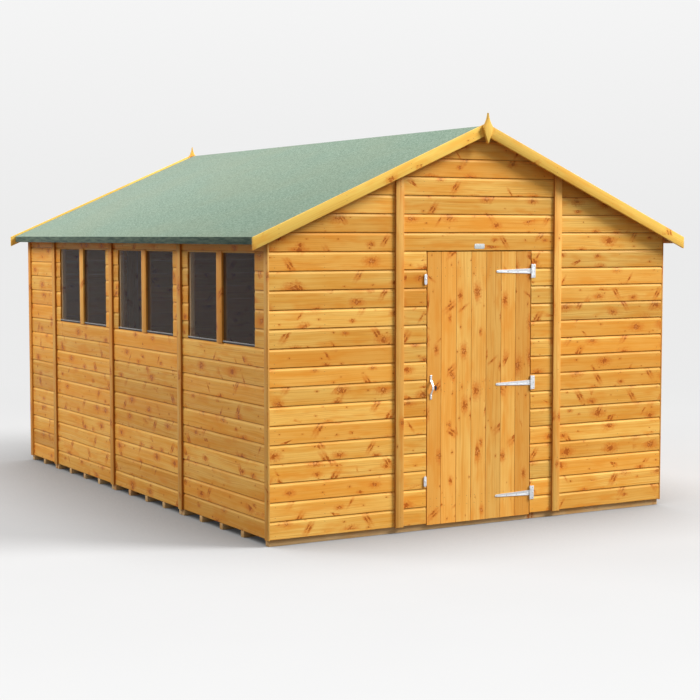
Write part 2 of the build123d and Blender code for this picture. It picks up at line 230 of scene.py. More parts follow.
def wood(name, light, mid, dark, rough, knot_chance, bump=0.00035, saw=0.0):
    """Pine: streaked grain that flows round knots and spike knots, each board with its own tone."""
    g = Graph(name)
    u, v, w = g.split(g.attr("bco"))
    tone, hue, seed = g.split(g.attr("brnd"))
    edge = g.attr("edge", "Fac")
    seed = g.mul(seed, 7.0)
    flutter = g.noise(g.join(u, v, w), 75.0, 2.0, out=1)
    ragged = g.split(g.vec("SCALE", g.vec("SUBTRACT", flutter, (0.5, 0.5, 0.5)), scale=4.6))

    def sort(shift, grid, sizes, stretch, turn, share, pair=0.0):
        """One sort of knot, shifted along so that the sorts don't fall together."""
        own = g.add(seed, shift)
        return knots(g, u, v, w, own, grid, sizes, stretch, turn, knot_chance * share, ragged, pair)

    knot = sort(0.0, (3.0, 8.3), (0.0055, 0.0145), 1.35, 0.0, 1.0)
    spike = sort(3.7, (2.6, 8.8), (0.0034, 0.0060), 3.2, 0.95, 0.7, 1.9)
    pin = sort(5.1, (5.0, 12.0), (0.0022, 0.0044), 1.2, 0.0, 0.6)
    flow = g.add(knot.push, spike.push)
    bend = g.mul(g.sub(g.noise(g.join(g.mul(u, 1.3), g.mul(v, 4.0), seed), 1.0, 2.0), 0.5), 0.05)
    vv = g.add(g.sub(v, flow), bend)
    broad = g.noise(g.join(g.mul(u, 0.9), g.mul(vv, 46.0), g.mul(w, 30.0)), 1.0, 3.0, 0.6)
    streak = g.noise(g.join(g.mul(u, 2.2), g.mul(vv, 125.0), g.mul(w, 90.0)), 1.0, 2.0, 0.55)
    fine = g.noise(g.join(g.mul(u, 5.0), g.mul(vv, 420.0), g.mul(w, 300.0)), 1.0, 2.0, 0.6)
    ring = g.math("SINE", g.add(g.mul(vv, 520.0), g.mul(broad, 9.0)))
    late = g.mul(g.span(ring, 0.1, 1.0), g.span(broad, 0.42, 0.72))
    patch = g.noise(g.join(g.mul(u, 2.6), g.mul(v, 8.0), seed), 1.0, 2.0, 0.5)
    cloud = g.add(g.mul(broad, 0.55), g.mul(patch, 0.45))
    base = g.mix(g.span(cloud, 0.36, 0.64), mid, light)
    base = g.mix(g.mul(late, 0.5), base, dark)
    base = g.mix(g.span(streak, 0.52, 0.74, 0.0, 0.5), base, dark)
    base = g.mix(g.span(streak, 0.46, 0.28, 0.0, 0.4), base, light)
    base = g.mix(g.span(fine, 0.56, 0.8, 0.0, 0.3), base, dark)
    warm = tuple(c * f for c, f in zip(mid, (0.98, 0.80, 0.56)))
    blush = g.noise(g.join(g.mul(u, 4.0), g.mul(v, 17.0), g.add(seed, 9.0)), 1.0, 2.0, 0.6)
    base = g.mix(g.mul(g.span(hue, 0.3, 1.0), 0.5), base, warm)
    base = g.mix(g.span(blush, 0.48, 0.7, 0.0, 0.65), base, warm)
    halo = g.most(knot.halo, g.most(g.mul(spike.halo, 0.9), g.mul(pin.halo, 0.7)))
    orange = tuple(c * f for c, f in zip(mid, (0.84, 0.50, 0.30)))
    base = g.mix(g.mul(halo, 0.8), base, orange)
    pale_heart = g.mul(g.span(knot.ratio, 0.7, 0.25), g.math("GREATER_THAN", knot.luck, 0.45))
    core = g.mix(g.span(knot.ratio, 0.2, 0.95), srgb(170, 82, 12), srgb(206, 112, 30))
    core = g.mix(g.mul(pale_heart, 0.85), core, srgb(236, 166, 88))
    base = g.mix(g.mul(knot.mask, 0.85), base, core)
    slit = g.mix(g.span(spike.ratio, 0.2, 0.9), srgb(204, 110, 30), srgb(158, 74, 10))
    base = g.mix(g.mul(spike.mask, 0.92), base, slit)
    base = g.mix(g.mul(pin.mask, 0.85), base, srgb(158, 80, 14))
    rim = g.most(knot.rim, g.mul(spike.rim, 0.6))
    base = g.mix(g.mul(rim, 0.55), base, srgb(154, 72, 10))
    # Painted highlight: where painted light is above zero, down each board's hollow, the colour is painted
    # paler, its strength varying along the board.
    cove_highlight = tuple(min(1.0, c * f) for c, f in zip(light, (1.05, 1.10, 1.20)))
    highlight_strength = g.span(g.noise(g.join(g.mul(u, 1.5), seed, 0.0), 1.0, 2.0), 0.35, 0.65, 0.1, 0.7)
    base = g.mix(g.mul(g.most(edge, 0.0), highlight_strength), base, cove_highlight)
    base = g.vec("SCALE", base, scale=g.span(tone, 0.0, 1.0, 0.86, 1.12, smooth=False))
    # Painted shade: where painted light is below zero, in the joints, under the lips and on narrow sides, the
    # colour is painted dark brown.
    base = g.mix(g.mul(g.most(g.mul(edge, -1.0), 0.0), 0.85), base, srgb(166, 86, 16))
    inner = g.most(knot.mask, spike.mask)
    height = g.add(g.add(g.mul(fine, 0.5), g.mul(broad, 0.6)), g.mul(rim, -0.8))
    if saw:
        marks = g.noise(g.join(g.mul(u, 260.0), g.mul(v, 12.0), g.mul(w, 12.0)), 1.0, 2.0, 0.6)
        height = g.add(height, g.mul(marks, saw))
    gloss = g.add(g.span(broad, 0.3, 0.7, rough + 0.07, rough - 0.05), g.mul(inner, -0.08))
    g.shader(base, gloss, g.bump(height, bump), Specular_IOR_Level=0.16)
    return g.mat


def felt_material():
    """Green mineral felt: fine stone granules, thicker and thinner in patches."""
    g = Graph("felt")
    u, v, w = g.split(g.attr("bco"))
    p = g.join(u, v, w)
    grit = g.noise(p, 420.0, 2.0, 0.7)
    mid = g.noise(p, 95.0, 3.0, 0.65)
    clump = g.noise(p, 62.0, 3.0, 0.75)
    wide = g.noise(p, 9.0, 3.0, 0.6)
    drift = g.noise(g.join(g.mul(u, 0.7), v, w), 1.6, 2.0, 0.5)
    base = g.mix(g.span(mid, 0.3, 0.7), srgb(99, 124, 105), srgb(146, 169, 149))
    base = g.mix(g.span(clump, 0.52, 0.68, 0.0, 0.55), base, srgb(178, 196, 176))
    base = g.mix(g.span(clump, 0.47, 0.30, 0.0, 0.6), base, srgb(88, 112, 96))
    base = g.mix(g.span(grit, 0.58, 0.78, 0.0, 0.55), base, srgb(206, 214, 198))
    base = g.mix(g.span(grit, 0.42, 0.24, 0.0, 0.65), base, srgb(58, 80, 68))
    base = g.mix(g.span(wide, 0.35, 0.7, 0.0, 0.25), base, srgb(126, 152, 132))
    base = g.mix(g.span(drift, 0.4, 0.7, 0.0, 0.25), base, srgb(146, 152, 124))
    # Painted shade: faces that hang down over the eaves are painted a darker, streaked green, standing in for
    # the shade on them.
    up = g.split(g.node("ShaderNodeNewGeometry").outputs["True Normal"])[2]
    hang = g.noise(g.join(g.mul(u, 9.0), 0.0, g.mul(w, 60.0)), 1.0, 3.0, 0.6)
    painted_band_shade = g.mix(g.span(hang, 0.35, 0.65), srgb(62, 80, 70), srgb(98, 114, 98))
    base = g.mix(g.span(up, 0.6, 0.3), base, painted_band_shade)
    height = g.add(grit, g.mul(mid, 0.8))
    slow = g.noise(p, 3.0, 2.0)
    normal = g.bump(g.add(g.mul(height, 0.05), slow), 0.008, 0.6)
    g.shader(base, g.span(grit, 0.2, 0.8, 0.95, 0.8), normal, Specular_IOR_Level=0.12, Sheen_Weight=0.08)
    return g.mat


def metal_material(name, light, dark, rough, metallic=0.85):
    """Zinc-plated steel with faint spangle, rubbed lighter at random."""
    g = Graph(name)
    p = g.node("ShaderNodeTexCoord").outputs["Object"]
    spangle = g.noise(p, 190.0, 3.0, 0.65)
    smear = g.noise(p, 22.0, 3.0, 0.6)
    base = g.mix(g.span(spangle, 0.3, 0.7), dark, light)
    base = g.mix(g.span(smear, 0.55, 0.8, 0.0, 0.45), base, tuple(c * 0.75 for c in dark))
    gloss = g.span(smear, 0.3, 0.75, rough, rough + 0.18)
    g.shader(base, gloss, g.bump(spangle, 0.0003, 0.5), Metallic=metallic)
    return g.mat


def plain_material(name, light, dark, rough, scale):
    """Painted or moulded surface, mottled a little and worn unevenly."""
    g = Graph(name)
    p = g.node("ShaderNodeTexCoord").outputs["Object"]
    mottle = g.noise(p, scale, 4.0, 0.6)
    wear = g.noise(p, scale * 0.2, 2.0, 0.5)
    base = g.mix(g.span(mottle, 0.3, 0.7), dark, light)
    # Painted shade: where painted light is below zero, as on a bead's leg or a keyhole's floor, the colour is
    # painted near black.
    base = g.mix(g.mul(g.attr("edge", "Fac"), -0.95), base, srgb(20, 18, 17))
    g.shader(base, g.span(wear, 0.3, 0.7, rough, rough + 0.12), g.bump(mottle, 0.0003, 0.5))
    return g.mat


def glass_material():
    """Smoked-looking glazing: dark, thinly see-through, with dust and soft streaks."""
    g = Graph("glass")
    p = g.node("ShaderNodeTexCoord").outputs["Object"]
    x, y, z = g.split(p)
    streak = g.noise(g.join(x, g.mul(y, 9.0), g.mul(z, 1.5)), 2.2, 3.0, 0.6)
    dust = g.noise(p, 45.0, 3.0, 0.7)
    base = g.mix(g.span(streak, 0.3, 0.75), srgb(57, 55, 52), srgb(70, 68, 65))
    base = g.mix(g.span(dust, 0.6, 0.85, 0.0, 0.2), base, srgb(86, 80, 76))
    g.shader(base, g.span(dust, 0.4, 0.8, 0.05, 0.14), g.bump(streak, 0.0004, 0.2), IOR=1.5, Alpha=0.17)
    return g.mat


# Light, middle and dark wood of each kind
CLADDING = srgb(250, 199, 102), srgb(237, 166, 64), srgb(204, 120, 34)
DOOR_WOOD = srgb(250, 200, 107), srgb(238, 169, 74), srgb(212, 129, 44)
TRIM = srgb(250, 195, 102), srgb(236, 165, 74), srgb(212, 128, 44)
VERGE = srgb(251, 212, 106), srgb(244, 195, 88), srgb(228, 166, 62)
SAWN = srgb(240, 204, 152), srgb(222, 180, 122), srgb(190, 142, 86)
SHEET = srgb(214, 174, 120), srgb(194, 148, 92), srgb(164, 116, 66)
MATS = {
    "cladding": wood("cladding", *CLADDING, rough=0.5, knot_chance=0.72),
    "door": wood("door", *DOOR_WOOD, rough=0.5, knot_chance=0.6),
    "trim": wood("trim", *TRIM, rough=0.52, knot_chance=0.35),
    "verge": wood("verge", *VERGE, rough=0.52, knot_chance=0.25),
    "framing": wood("framing", *SAWN, rough=0.68, knot_chance=0.5, bump=0.0006, saw=0.8),
    "sheet": wood("sheet_boards", *SHEET, rough=0.66, knot_chance=0.5, bump=0.0004),
    "felt": felt_material(),
    "steel": metal_material("hardware", srgb(236, 238, 240), srgb(206, 210, 214), 0.36),
    "plate": metal_material("bare_plate", srgb(214, 218, 216), srgb(182, 188, 188), 0.34, 0.6),
    "screw": metal_material("screw_heads", srgb(226, 226, 224), srgb(190, 190, 190), 0.4),
    "nail": plain_material("nail_heads", srgb(150, 98, 48), srgb(104, 62, 28), 0.5, 300.0),
    "black": plain_material("black_paint", srgb(32, 30, 30), srgb(18, 17, 17), 0.42, 80.0),
    "bead": plain_material("glazing_bead", srgb(186, 184, 180), srgb(156, 154, 150), 0.5, 90.0),
    "glass": glass_material(),
}


class Piece:
    """Collects closed shapes with their grain coordinates and makes one object of them."""

    def __init__(self, name):
        self.name = name
        self.verts, self.faces, self.bco, self.rnd, self.edge = [], [], [], [], []

    def take(self, bm, matrix, offset, rnd):
        """Adds a bmesh made in (along, across, outward) coordinates."""
        start = len(self.verts)
        bm.verts.index_update()
        edge = bm.verts.layers.float.get("edge")
        for v in bm.verts:
            self.verts.append(matrix @ v.co)
            self.bco.append(v.co + offset)
            self.rnd.append(rnd)
            self.edge.append(v[edge] if edge else 0.0)
        for f in bm.faces:
            self.faces.append([start + v.index for v in f.verts])
        bm.free()

    def make(self, mat, body="shell", slot=None, replaces=(), smooth=32):
        me = bpy.data.meshes.new(self.name)
        me.from_pydata(self.verts, [], self.faces)
        for key, rows in (("bco", self.bco), ("brnd", self.rnd)):
            a = me.attributes.new(key, "FLOAT_VECTOR", "POINT")
            a.data.foreach_set("vector", [c for row in rows for c in row])
        me.attributes.new("edge", "FLOAT", "POINT").data.foreach_set("value", self.edge)
        bm = bmesh.new()
        bm.from_mesh(me)
        bmesh.ops.recalc_face_normals(bm, faces=bm.faces)
        bm.to_mesh(me)
        bm.free()
        return show(me, self.name, mat, body, replaces, smooth)


def show(me, name, mat, body, replaces, smooth=32):
    """Links a mesh as a piece of the part; smooth is the sharpest angle in degrees that stays soft."""
    me.shade_smooth()
    me.set_sharp_from_angle(angle=math.radians(smooth))
    me.materials.append(MATS[mat])
    o = bpy.data.objects.new(name, me)
    bpy.context.scene.collection.objects.link(o)
    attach(o, body)
    if replaces:
        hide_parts(*replaces)
    return o


def luck(low_tone=0.0, high_tone=1.0, low_hue=0.0):
    """One board's own place in the grain pattern, and its tone."""
    offset = Vector((rng.uniform(0, 40), rng.uniform(0, 20), rng.uniform(0, 8)))
    return offset, (rng.uniform(low_tone, high_tone), rng.uniform(low_hue, 1.0), rng.random())


def prism(outline, a, b):
    """Outline in (across, outward, painted light: a painted highlight above zero, painted shade below), drawn
    from a to b along the board.
    """
    bm = bmesh.new()
    edge = bm.verts.layers.float.new("edge")
    ends = [[bm.verts.new((u, p[0], p[1])) for p in outline] for u in (a, b)]
    n = len(outline)
    for end in ends:
        for v, p in zip(end, outline):
            v[edge] = p[2] if len(p) > 2 else 0.0
    for i in range(n):
        j = (i + 1) % n
        bm.faces.new((ends[0][i], ends[0][j], ends[1][j], ends[1][i]))
    bm.faces.new(ends[0])
    bm.faces.new(ends[1][::-1])
    return bm


def cut(bm, point, normal):
    """Removes what lies on the normal's side of a plane and closes the cut."""
    geom = bm.verts[:] + bm.edges[:] + bm.faces[:]
    got = bmesh.ops.bisect_plane(bm, geom=geom, plane_co=point, plane_no=normal, clear_outer=True, dist=1e-7)
    edges = [e for e in got["geom_cut"] if isinstance(e, bmesh.types.BMEdge) and e.is_boundary]
    if edges:
        bmesh.ops.holes_fill(bm, edges=edges, sides=0)


def shiplap(cover, t, first=False):
    """Section of one cladding board: a lip below, a hollow top edge, flat inside."""
    gap = 0.0 if first else 0.0016 + rng.uniform(-0.0003, 0.0003)
    step, hollow, play, ease = -0.0046, 0.0160, 0.0002, 0.0008
    sink = -rng.uniform(0.0, 0.0004)
    rows = [(0, -t)]
    # Each point's third value is painted light: painted shade in the joint and under the lip, and a painted
    # highlight down the hollow that turns to painted shade where it meets the next board's lip.
    if not first:
        rows = [(play, -t + ease, -1), (play, step, -1), (gap + play, step, -1)]
    rows += [
        (gap + 0.0001, sink - 0.0010, -0.8),
        (gap + 0.0006, sink - 0.0003, -0.3),
        (gap + 0.0014, sink, -0.1),
        (gap + 0.0050, sink, 0),
    ]
    top = cover - play
    rows += [(top - hollow - 0.0180, sink, 0), (top - hollow - 0.0030, sink, 0.3)]
    hollow_light = (0.7, 0.9, 0.85, 0.65, 0.35, -0.1, -0.8)
    for i, tone in enumerate(hollow_light):
        k = i / (len(hollow_light) - 1)
        rows.append((top - hollow + hollow * k, sink + (step - sink) * math.sin(k * math.pi / 2), tone))
    rows += [(top, -t + ease, -1), (top - ease, -t), (0.0010, -t)]
    return rows


def vee(cover, t, lip=0.0022, deep=0.0024):
    """Section of one matched board with chamfered long edges, a half gap at each side."""
    half, inside, fade = 0.0003, 0.0012, 0.003
    # Each point's third value is painted light: painted shade down the chamfers and in the gaps, and a
    # painted highlight along the edge of one chamfer.
    return [
        (half, -t + inside, -0.7),
        (half, -deep, -0.7),
        (half + lip, 0, -0.15),
        (half + lip + fade, 0, 0),
        (cover - half - lip - fade, 0, 0),
        (cover - half - lip, 0, 0.3),
        (cover - half, -deep, -0.7),
        (cover - half, -t + inside, -0.7),
        (cover - half - inside, -t),
        (half + inside, -t),
    ]


def board_lines(top):
    """Heights of the joints between the boards, from the lowest edge up."""
    lines = [BASE_Z, BASE_Z + LOW_BOARD]
    while lines[-1] < top - 1e-6:
        lines.append(lines[-1] + COVER)
    return lines


def wall(name, spans, z0, z1, at, replaces, planes=(), tones=(0.0, 1.0)):
    """Cladding between z0 and z1 over each span, placed by a matrix."""
    piece = Piece(name)
    lines = board_lines(z1)
    for a, b in spans:
        for i, (low, high) in enumerate(zip(lines, lines[1:])):
            if high <= z0 + 1e-6 or low >= z1 - 1e-6:
                continue
            bm = prism([(low + p[0], *p[1:]) for p in shiplap(high - low, CLAD_T, i == 0)], a, b)
            for point, normal in planes:
                cut(bm, point, normal)
            if bm.verts:
                piece.take(bm, at, *luck(*tones))
            else:
                bm.free()
    return piece.make("cladding", slot="cladding", replaces=replaces)


def place(u, v, w, at):
    """Matrix that takes (along, across, outward) to the frame."""
    m = Matrix((u, v, w)).transposed().to_4x4()
    m.translation = at
    return m


X, Y, Z = Vector((1, 0, 0)), Vector((0, 1, 0)), Vector((0, 0, 1))
FRONT = place(X, Z, -Y, (0, FRONT_Y, 0))
REAR = place(X, Z, Y, (0, REAR_Y, 0))
LEFT = place(Y, Z, -X, (-OUT_X, 0, 0))
RIGHT = place(Y, Z, X, (OUT_X, 0, 0))
slopes = []
for sign in (-1, 1):
    normal = Vector((sign * math.sin(PITCH), math.cos(PITCH), 0))
    slopes.append((Vector((0, RIDGE_Z, 0)), normal))


def x_span(node):
    """Where a node starts and ends on x."""
    low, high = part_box(node)
    return low.x, high.x


for node in ("front_wall_left", "front_wall_right"):
    wall(f"boards_{node}", [x_span(node)], BASE_Z, RIDGE_Z, FRONT, [node], slopes)
over_door = "front_wall_over_door"
wall("boards_over_door", [x_span(over_door)], HEAD_Z, RIDGE_Z, FRONT, [over_door], slopes)
for node in ("front_wall_beside_latch", "front_wall_beside_hinges"):
    wall(f"boards_{node}", [x_span(node)], BASE_Z, HEAD_Z, FRONT, [node])
g0, g1 = x_span(over_door)
rear_spans = [(-OUT_X, g0 - JOINT_GAP), (g0, g1), (g1 + JOINT_GAP, OUT_X)]
wall("boards_rear", rear_spans, BASE_Z, RIDGE_Z, REAR, ["rear_wall"], slopes)

# Side panels end halfway between the cover strips' edges; windows are where the glass is
strips = nodes["side_cover_strips"].data
strip_y = sorted({round(v.co.y, 5) for v in strips.vertices})
joint_y = [(strip_y[i] + strip_y[i + 1]) / 2 for i in (0, 2, 4)]
edges = sorted([BELOW[0].y, *joint_y, SIDE[1].y])
panels = []
for i, (a, b) in enumerate(zip(edges, edges[1:])):
    panels.append((a + (JOINT_GAP / 2 if i else 0), b - (JOINT_GAP / 2 if i < 3 else 0)))
glass_y = sorted({round(v.co.y, 5) for v in nodes["window_glass"].data.vertices})
windows = [(glass_y[i], glass_y[i + 3]) for i in (0, 4, 8)]
piers = []
for (a, b), (c, d) in zip(panels, windows):
    piers += [(a, c), (d, b)]
# Lowest and highest tone and lowest hue of the left wall's boards: more uneven than the rest, and all warmer,
# a painted warm tint standing in for the light on that side
LEFT_TONES_PAINTED_WARM = (-0.15, 1.15, 0.5)
wall("boards_below_windows", panels[:3], BASE_Z, SILL_Z, LEFT, ["left_wall_below_windows"], tones=LEFT_TONES_PAINTED_WARM)
wall("boards_beside_windows", piers, SILL_Z, HEAD_Z, LEFT, ["left_wall_beside_windows"], tones=LEFT_TONES_PAINTED_WARM)
wall("boards_over_windows", panels[:3], HEAD_Z, WALL_TOP, LEFT, ["left_wall_over_windows"], tones=LEFT_TONES_PAINTED_WARM)
wall("boards_left_plain_panel", panels[3:], BASE_Z, WALL_TOP, LEFT, ["left_wall_plain_panel"], tones=LEFT_TONES_PAINTED_WARM)
wall("boards_right", panels, BASE_Z, WALL_TOP, RIGHT, ["right_wall"])


# Sheets of matched boards: what one board covers, the roof's thickness, spare length for the cuts
DECK_COVER, ROOF_COVER, ROOF_T, SPARE = 0.115, 0.112, 0.012, 0.008
NARROWEST = 0.02


def sheet(name, node, cover, across, along, t, at, planes=()):
    """Matched boards side by side over the first span, each running over the second."""
    piece = Piece(name)
    s, end = across
    while s < end - 1e-4:
        width = min(cover, end - s)
        if end - s - width < NARROWEST:
            width = end - s
        bm = prism([(s + p[0], *p[1:]) for p in vee(width, t)], *along)
        for point, normal in planes:
            cut(bm, point, normal)
        piece.take(bm, at, *luck())
        s += width
    piece.make("sheet", slot="sheet_boards", replaces=[node])


# Door: vertical matched boards, the first one ripped to fit
FIRST_SEAM = -0.290
door = Piece("door_leaf_boards")
door_t = DOOR[1].y - DOOR[0].y
seams = [DOOR[0].x] + [FIRST_SEAM + COVER * i for i in range(6)] + [DOOR[1].x]
for a, b in zip(seams, seams[1:]):
    bm = prism([(a + p[0], *p[1:]) for p in vee(b - a, door_t, 0.0012, 0.0016)], DOOR[0].z, DOOR[1].z)
    door.take(bm, place(Z, X, -Y, (0, DOOR[0].y, 0)), *luck())
door.make("door", body="door", slot="door", replaces=["door_boards"])

# Floor boards run along the shed, roof boards too
low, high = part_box("floor_deck")
top = place(Y, X, Z, (0, 0, high.z))
sheet("floor_boards", "floor_deck", DECK_COVER, (low.x, high.x), (low.y, high.y), high.z - low.z, top)
for sign, side in ((-1, "left"), (1, "right")):
    node = f"roof_boards_{side}"
    low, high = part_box(node)
    run = max(abs(low.x), abs(high.x)) / math.cos(PITCH)
    down = Vector((sign * math.cos(PITCH), 0, -math.sin(PITCH)))
    out = Vector((-sign * math.sin(PITCH), 0, -math.cos(PITCH)))
    at = place(Y, down, out, (0, 0, RIDGE_Z))
    ridge_cut = (Vector((0, 0, 0)), Vector((0, -math.cos(PITCH), math.sin(PITCH))))
    eaves_cut = (Vector((0, run, 0)), Vector((0, math.cos(PITCH), -math.sin(PITCH))))
    spans = ((-SPARE, run + SPARE), (low.y, high.y))
    sheet(f"roof_sarking_{side}", node, ROOF_COVER, *spans, ROOF_T, at, [ridge_cut, eaves_cut])


def islands(bm):
    """Connected groups of vertices."""
    seen, groups = set(), []
    for start in bm.verts:
        if start in seen:
            continue
        stack, group = [start], []
        seen.add(start)
        while stack:
            v = stack.pop()
            group.append(v)
            for e in v.link_edges:
                other = e.other_vert(v)
                if other not in seen:
                    seen.add(other)
                    stack.append(other)
        groups.append(group)
    return groups


def welded(node):
    """A node's own mesh with the corners of its faces joined."""
    bm = bmesh.new()
    bm.from_mesh(nodes[node].data)
    bmesh.ops.remove_doubles(bm, verts=bm.verts, dist=2e-6)
    return bm


def corners_of(group):
    """Lowest and highest corner of the box round some vertices."""
    pts = [v.co for v in group]
    return [Vector([f(p[i] for p in pts) for i in range(3)]) for f in (min, max)]


def dress(node, mat, body="shell", bevel=0.0012, along=None, tones=(0.0, 1.0), segments=2, ends=None):
    """A copy of a node's own shape with eased edges and grain along each stick.

    ends names an axis and a painted light value, a painted highlight above zero or painted shade below, for
    the faces at the stick's two ends on that axis."""
    bm = welded(node)
    bmesh.ops.dissolve_limit(bm, angle_limit=math.radians(0.6), verts=bm.verts, edges=bm.edges)
    sharp = [e for e in bm.edges if len(e.link_faces) == 2 and e.calc_face_angle() > math.radians(25)]
    bmesh.ops.bevel(
        bm, geom=sharp, offset=bevel, segments=segments, profile=0.5, affect="EDGES", clamp_overlap=True
    )
    co = bm.verts.layers.float_vector.new("bco")
    rnd = bm.verts.layers.float_vector.new("brnd")
    edge = bm.verts.layers.float.new("edge")
    for group in islands(bm):
        low, high = corners_of(group)
        size = high - low
        if along is None:
            order = sorted(range(3), key=lambda i: -size[i])
            axes = [(X, Y, Z)[i] for i in order]
        else:
            u = Vector(along).normalized()
            rest = sorted((a for a in (X, Y, Z) if abs(a.dot(u)) < 0.4), key=lambda a: size.dot(a))
            w = rest[0]
            axes = [u, u.cross(w).normalized(), w]
        offset, chance = luck(*tones)
        middle = (low + high) / 2
        for v in group:
            d = v.co - middle
            v[co] = Vector([d.dot(a) for a in axes]) + offset
            v[rnd] = Vector(chance)
            if ends:
                axis, tone = ends
                near = min(v.co[axis] - low[axis], high[axis] - v.co[axis])
                v[edge] = tone if near < 0.0002 else 0.0
    me = bpy.data.meshes.new(f"dressed_{node}")
    bm.to_mesh(me)
    bm.free()
    return show(me, me.name, mat, body, [node])


left_slope = (math.cos(PITCH), 0, math.sin(PITCH))
right_slope = (math.cos(PITCH), 0, -math.sin(PITCH))
# The narrow sides of the cover strips are painted dark as the shade beside them.
dress("side_cover_strips", "trim", bevel=0.0014, tones=(0.1, 0.7), ends=(1, -0.8))
dress("gable_cover_strips", "trim", bevel=0.0014, tones=(0.1, 0.7), ends=(0, -0.8))
# The corner strips' front and back edges are painted light as a highlight, and those of the right-hand corner
# painted darker as shade.
corners = dress("corner_strips", "trim", bevel=0.0014, tones=(0.0, 0.5), ends=(1, 0.8))
layer = corners.data.attributes["edge"].data
for v in corners.data.vertices:
    if v.co.x > 0 and layer[v.index].value > 0:
        layer[v.index].value = -0.45
dress("barge_boards_left", "verge", along=left_slope, tones=(0.7, 1.0), bevel=0.0015)
dress("barge_boards_right", "verge", along=right_slope, tones=(0.7, 1.0), bevel=0.0015)
dress("finials", "verge", tones=(0.6, 1.0), bevel=0.0012)
dress("window_mullions", "trim", tones=(0.2, 0.8))
for node in (
    "side_wall_studs", "side_wall_rails", "gable_studs", "gable_rails", "eaves_battens", "truss_collars"
):
    dress(node, "framing")
dress("floor_bearers", "framing", tones=(0.0, 0.5))
dress("roof_purlins", "framing", along=(0, 1, 0))
for side, direction in (("left", left_slope), ("right", right_slope)):
    dress(f"gable_rafters_{side}", "framing", along=direction)
    dress(f"truss_rafters_{side}", "framing", along=direction)
dress("door_ledges", "framing", body="door", tones=(0.4, 1.0))
dress("door_braces", "framing", body="door", along=(-0.42, 0, 1), tones=(0.4, 1.0))

# Glazing beads: pale nose over a leg painted black as the shadow under the nose
beads = dress("window_sill_beads", "bead", bevel=0.0006)
layer = beads.data.attributes["edge"].data
for v in beads.data.vertices:
    layer[v.index].value = -1.0 if v.co.z < SILL_Z + 0.0087 else 0.0

# Felt: lies over the boards, hangs down over the eaves battens
dress("roof_felt", "felt", bevel=0.0008, along=(0, 1, 0))

dress("door_handle", "steel", body="door", bevel=0.0006)
dress("door_lock", "black", body="door", bevel=0.003, segments=3)
for node, body in (("hinge_straps", "door"), ("hinge_plates", "shell"), ("turn_buttons", "shell")):
    dress(node, "steel", body=body, bevel=0.0005)
for node, mat in (("hinge_pins", "steel"), ("window_glass", "glass")):
    nodes[node].data.materials.clear()
    nodes[node].data.materials.append(MATS[mat])


def sticks(node):
    """Lowest and highest corner of each separate piece in a node."""
    bm = welded(node)
    boxes = [corners_of(group) for group in islands(bm)]
    bm.free()
    return sorted(boxes, key=lambda box: tuple(round(c, 4) for c in box[0]))


def loop(bm, points, height):
    """Vertices at one height, one for each point."""
    return [bm.verts.new((x, y, height)) for x, y in points]


def circle(r, sides):
    turns = [2 * math.pi * i / sides for i in range(sides)]
    return [(r * math.cos(t), r * math.sin(t)) for t in turns]


def skin(bm, loops):
    """Walls from each loop to the next."""
    for low, high in zip(loops, loops[1:]):
        for i in range(len(low)):
            bm.faces.new((low[i - 1], low[i], high[i], high[i - 1]))


def recess(bm, rim, hole, top, floor, taper):
    """Closes a rim round a hole, and gives the hole walls and a floor, whose vertices it returns."""
    lip = loop(bm, hole, top)
    foot = loop(bm, [(x * taper, y * taper) for x, y in hole], floor)
    edges = []
    for ends in (rim, lip):
        for i in range(len(ends)):
            pair = (ends[i], ends[i - 1])
            edges.append(bm.edges.get(pair) or bm.edges.new(pair))
    bmesh.ops.triangle_fill(bm, edges=edges, use_beauty=True, normal=(0, 0, 1))
    skin(bm, [lip, foot])
    bm.faces.new(foot)
    return foot


def turned(profile, sides):
    """Solid of revolution about the outward axis; the last point is the middle of its face."""
    bm = bmesh.new()
    rings = [loop(bm, circle(r, sides), h) for r, h in profile[:-1]]
    tip = bm.verts.new((0, 0, profile[-1][1]))
    skin(bm, rings)
    for i in range(sides):
        bm.faces.new((rings[-1][i - 1], rings[-1][i], tip))
    bm.faces.new(rings[0][::-1])
    return bm


def nail():
    """Round nail head, just proud of the wood it is driven into."""
    r = rng.uniform(0.0016, 0.0021)
    return turned([(r, -0.0004), (r, 0.0002), (r * 0.7, 0.0005), (0, 0.0006)], 8)


def screw(r=0.0042, h=0.0022):
    """Pan-head screw with a cross recess."""
    bm = bmesh.new()
    dome = ((1.0, -0.0002), (1.0, h * 0.35), (0.93, h * 0.7), (0.8, h * 0.92), (0.66, h))
    rings = [loop(bm, circle(r * k, 24), up) for k, up in dome]
    skin(bm, rings)
    bm.faces.new(rings[0][::-1])
    arm, half = r * 0.5, r * 0.13
    spin = rng.uniform(0, math.pi)
    corners = []
    for q in range(4):
        for a, b in ((arm, -half), (arm, half), (half, half)):
            turn = q * math.pi / 2 + spin
            corners.append((a * math.cos(turn) - b * math.sin(turn), a * math.sin(turn) + b * math.cos(turn)))
    recess(bm, rings[-1], corners, h, h * 0.25, 0.7)
    return bm


def scatter(name, make, spots, mat, body="shell", slot="hardware"):
    """One piece of many small fasteners: each spot is a place and a direction outward."""
    piece = Piece(name)
    for at, out in spots:
        turn = Vector(out).to_track_quat("Z", "Y").to_matrix().to_4x4()
        turn.translation = at
        piece.take(make(), turn, *luck())
    return piece.make(mat, body=body, slot=slot, smooth=40)


def jog(v, by=0.002):
    """A nail's place on one axis, a little off where it was aimed."""
    return v + rng.uniform(-by, by)


# Nails: heights above a board's lower edge, least distance under its upper one, clear of a panel's ends
NAIL_HEIGHTS, UPPER_EDGE, NAIL_CLEAR = (0.022, 0.084), 0.019, 0.01
